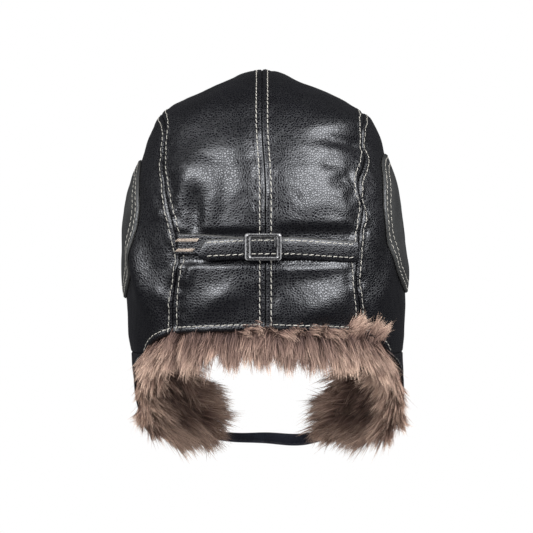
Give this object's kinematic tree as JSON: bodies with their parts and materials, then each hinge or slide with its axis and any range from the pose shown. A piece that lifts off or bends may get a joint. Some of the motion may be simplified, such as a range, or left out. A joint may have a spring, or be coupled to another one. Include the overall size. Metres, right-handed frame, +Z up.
{
  "type": "aviator hat",
  "caption": "Fur-lined leather aviator hat with round ear patches, ear flaps, a buckled strap across the back and a chin strap.",
  "frame": {"origin": "the inner face of the crown at its top, where the hat sits on the head", "axes": "+Z up; +Y the way the wearer faces; +X the wearer's right, which is on the right in the picture of the back"},
  "size_m": [0.205, 0.2279, 0.287],
  "materials": {
    "black_leather": "pebbled, semi-gloss black",
    "strap_leather": "smooth blue-black",
    "faux_fur": "deep pile, brown with blond tips",
    "gunmetal": "dark polished gunmetal",
    "thread": "cream topstitching",
    "satin": "tan bar tacks"
  },
  "bodies": {
    "root": {"crown_panel_left": "black_leather", "crown_panel_right": "black_leather", "side_panel_left": "black_leather", "side_panel_right": "black_leather", "ear_patch_left": "black_leather", "ear_patch_right": "black_leather", "ear_flap_left": "black_leather", "ear_flap_right": "black_leather", "flap_fur_left": "faux_fur", "flap_fur_right": "faux_fur", "nape_fur": "faux_fur", "face_fur": "faux_fur", "back_strap_left": "black_leather", "back_strap_right": "black_leather", "back_buckle": "gunmetal", "chin_strap": "strap_leather", "chin_snap": "gunmetal"}
  },
  "joints": []
}
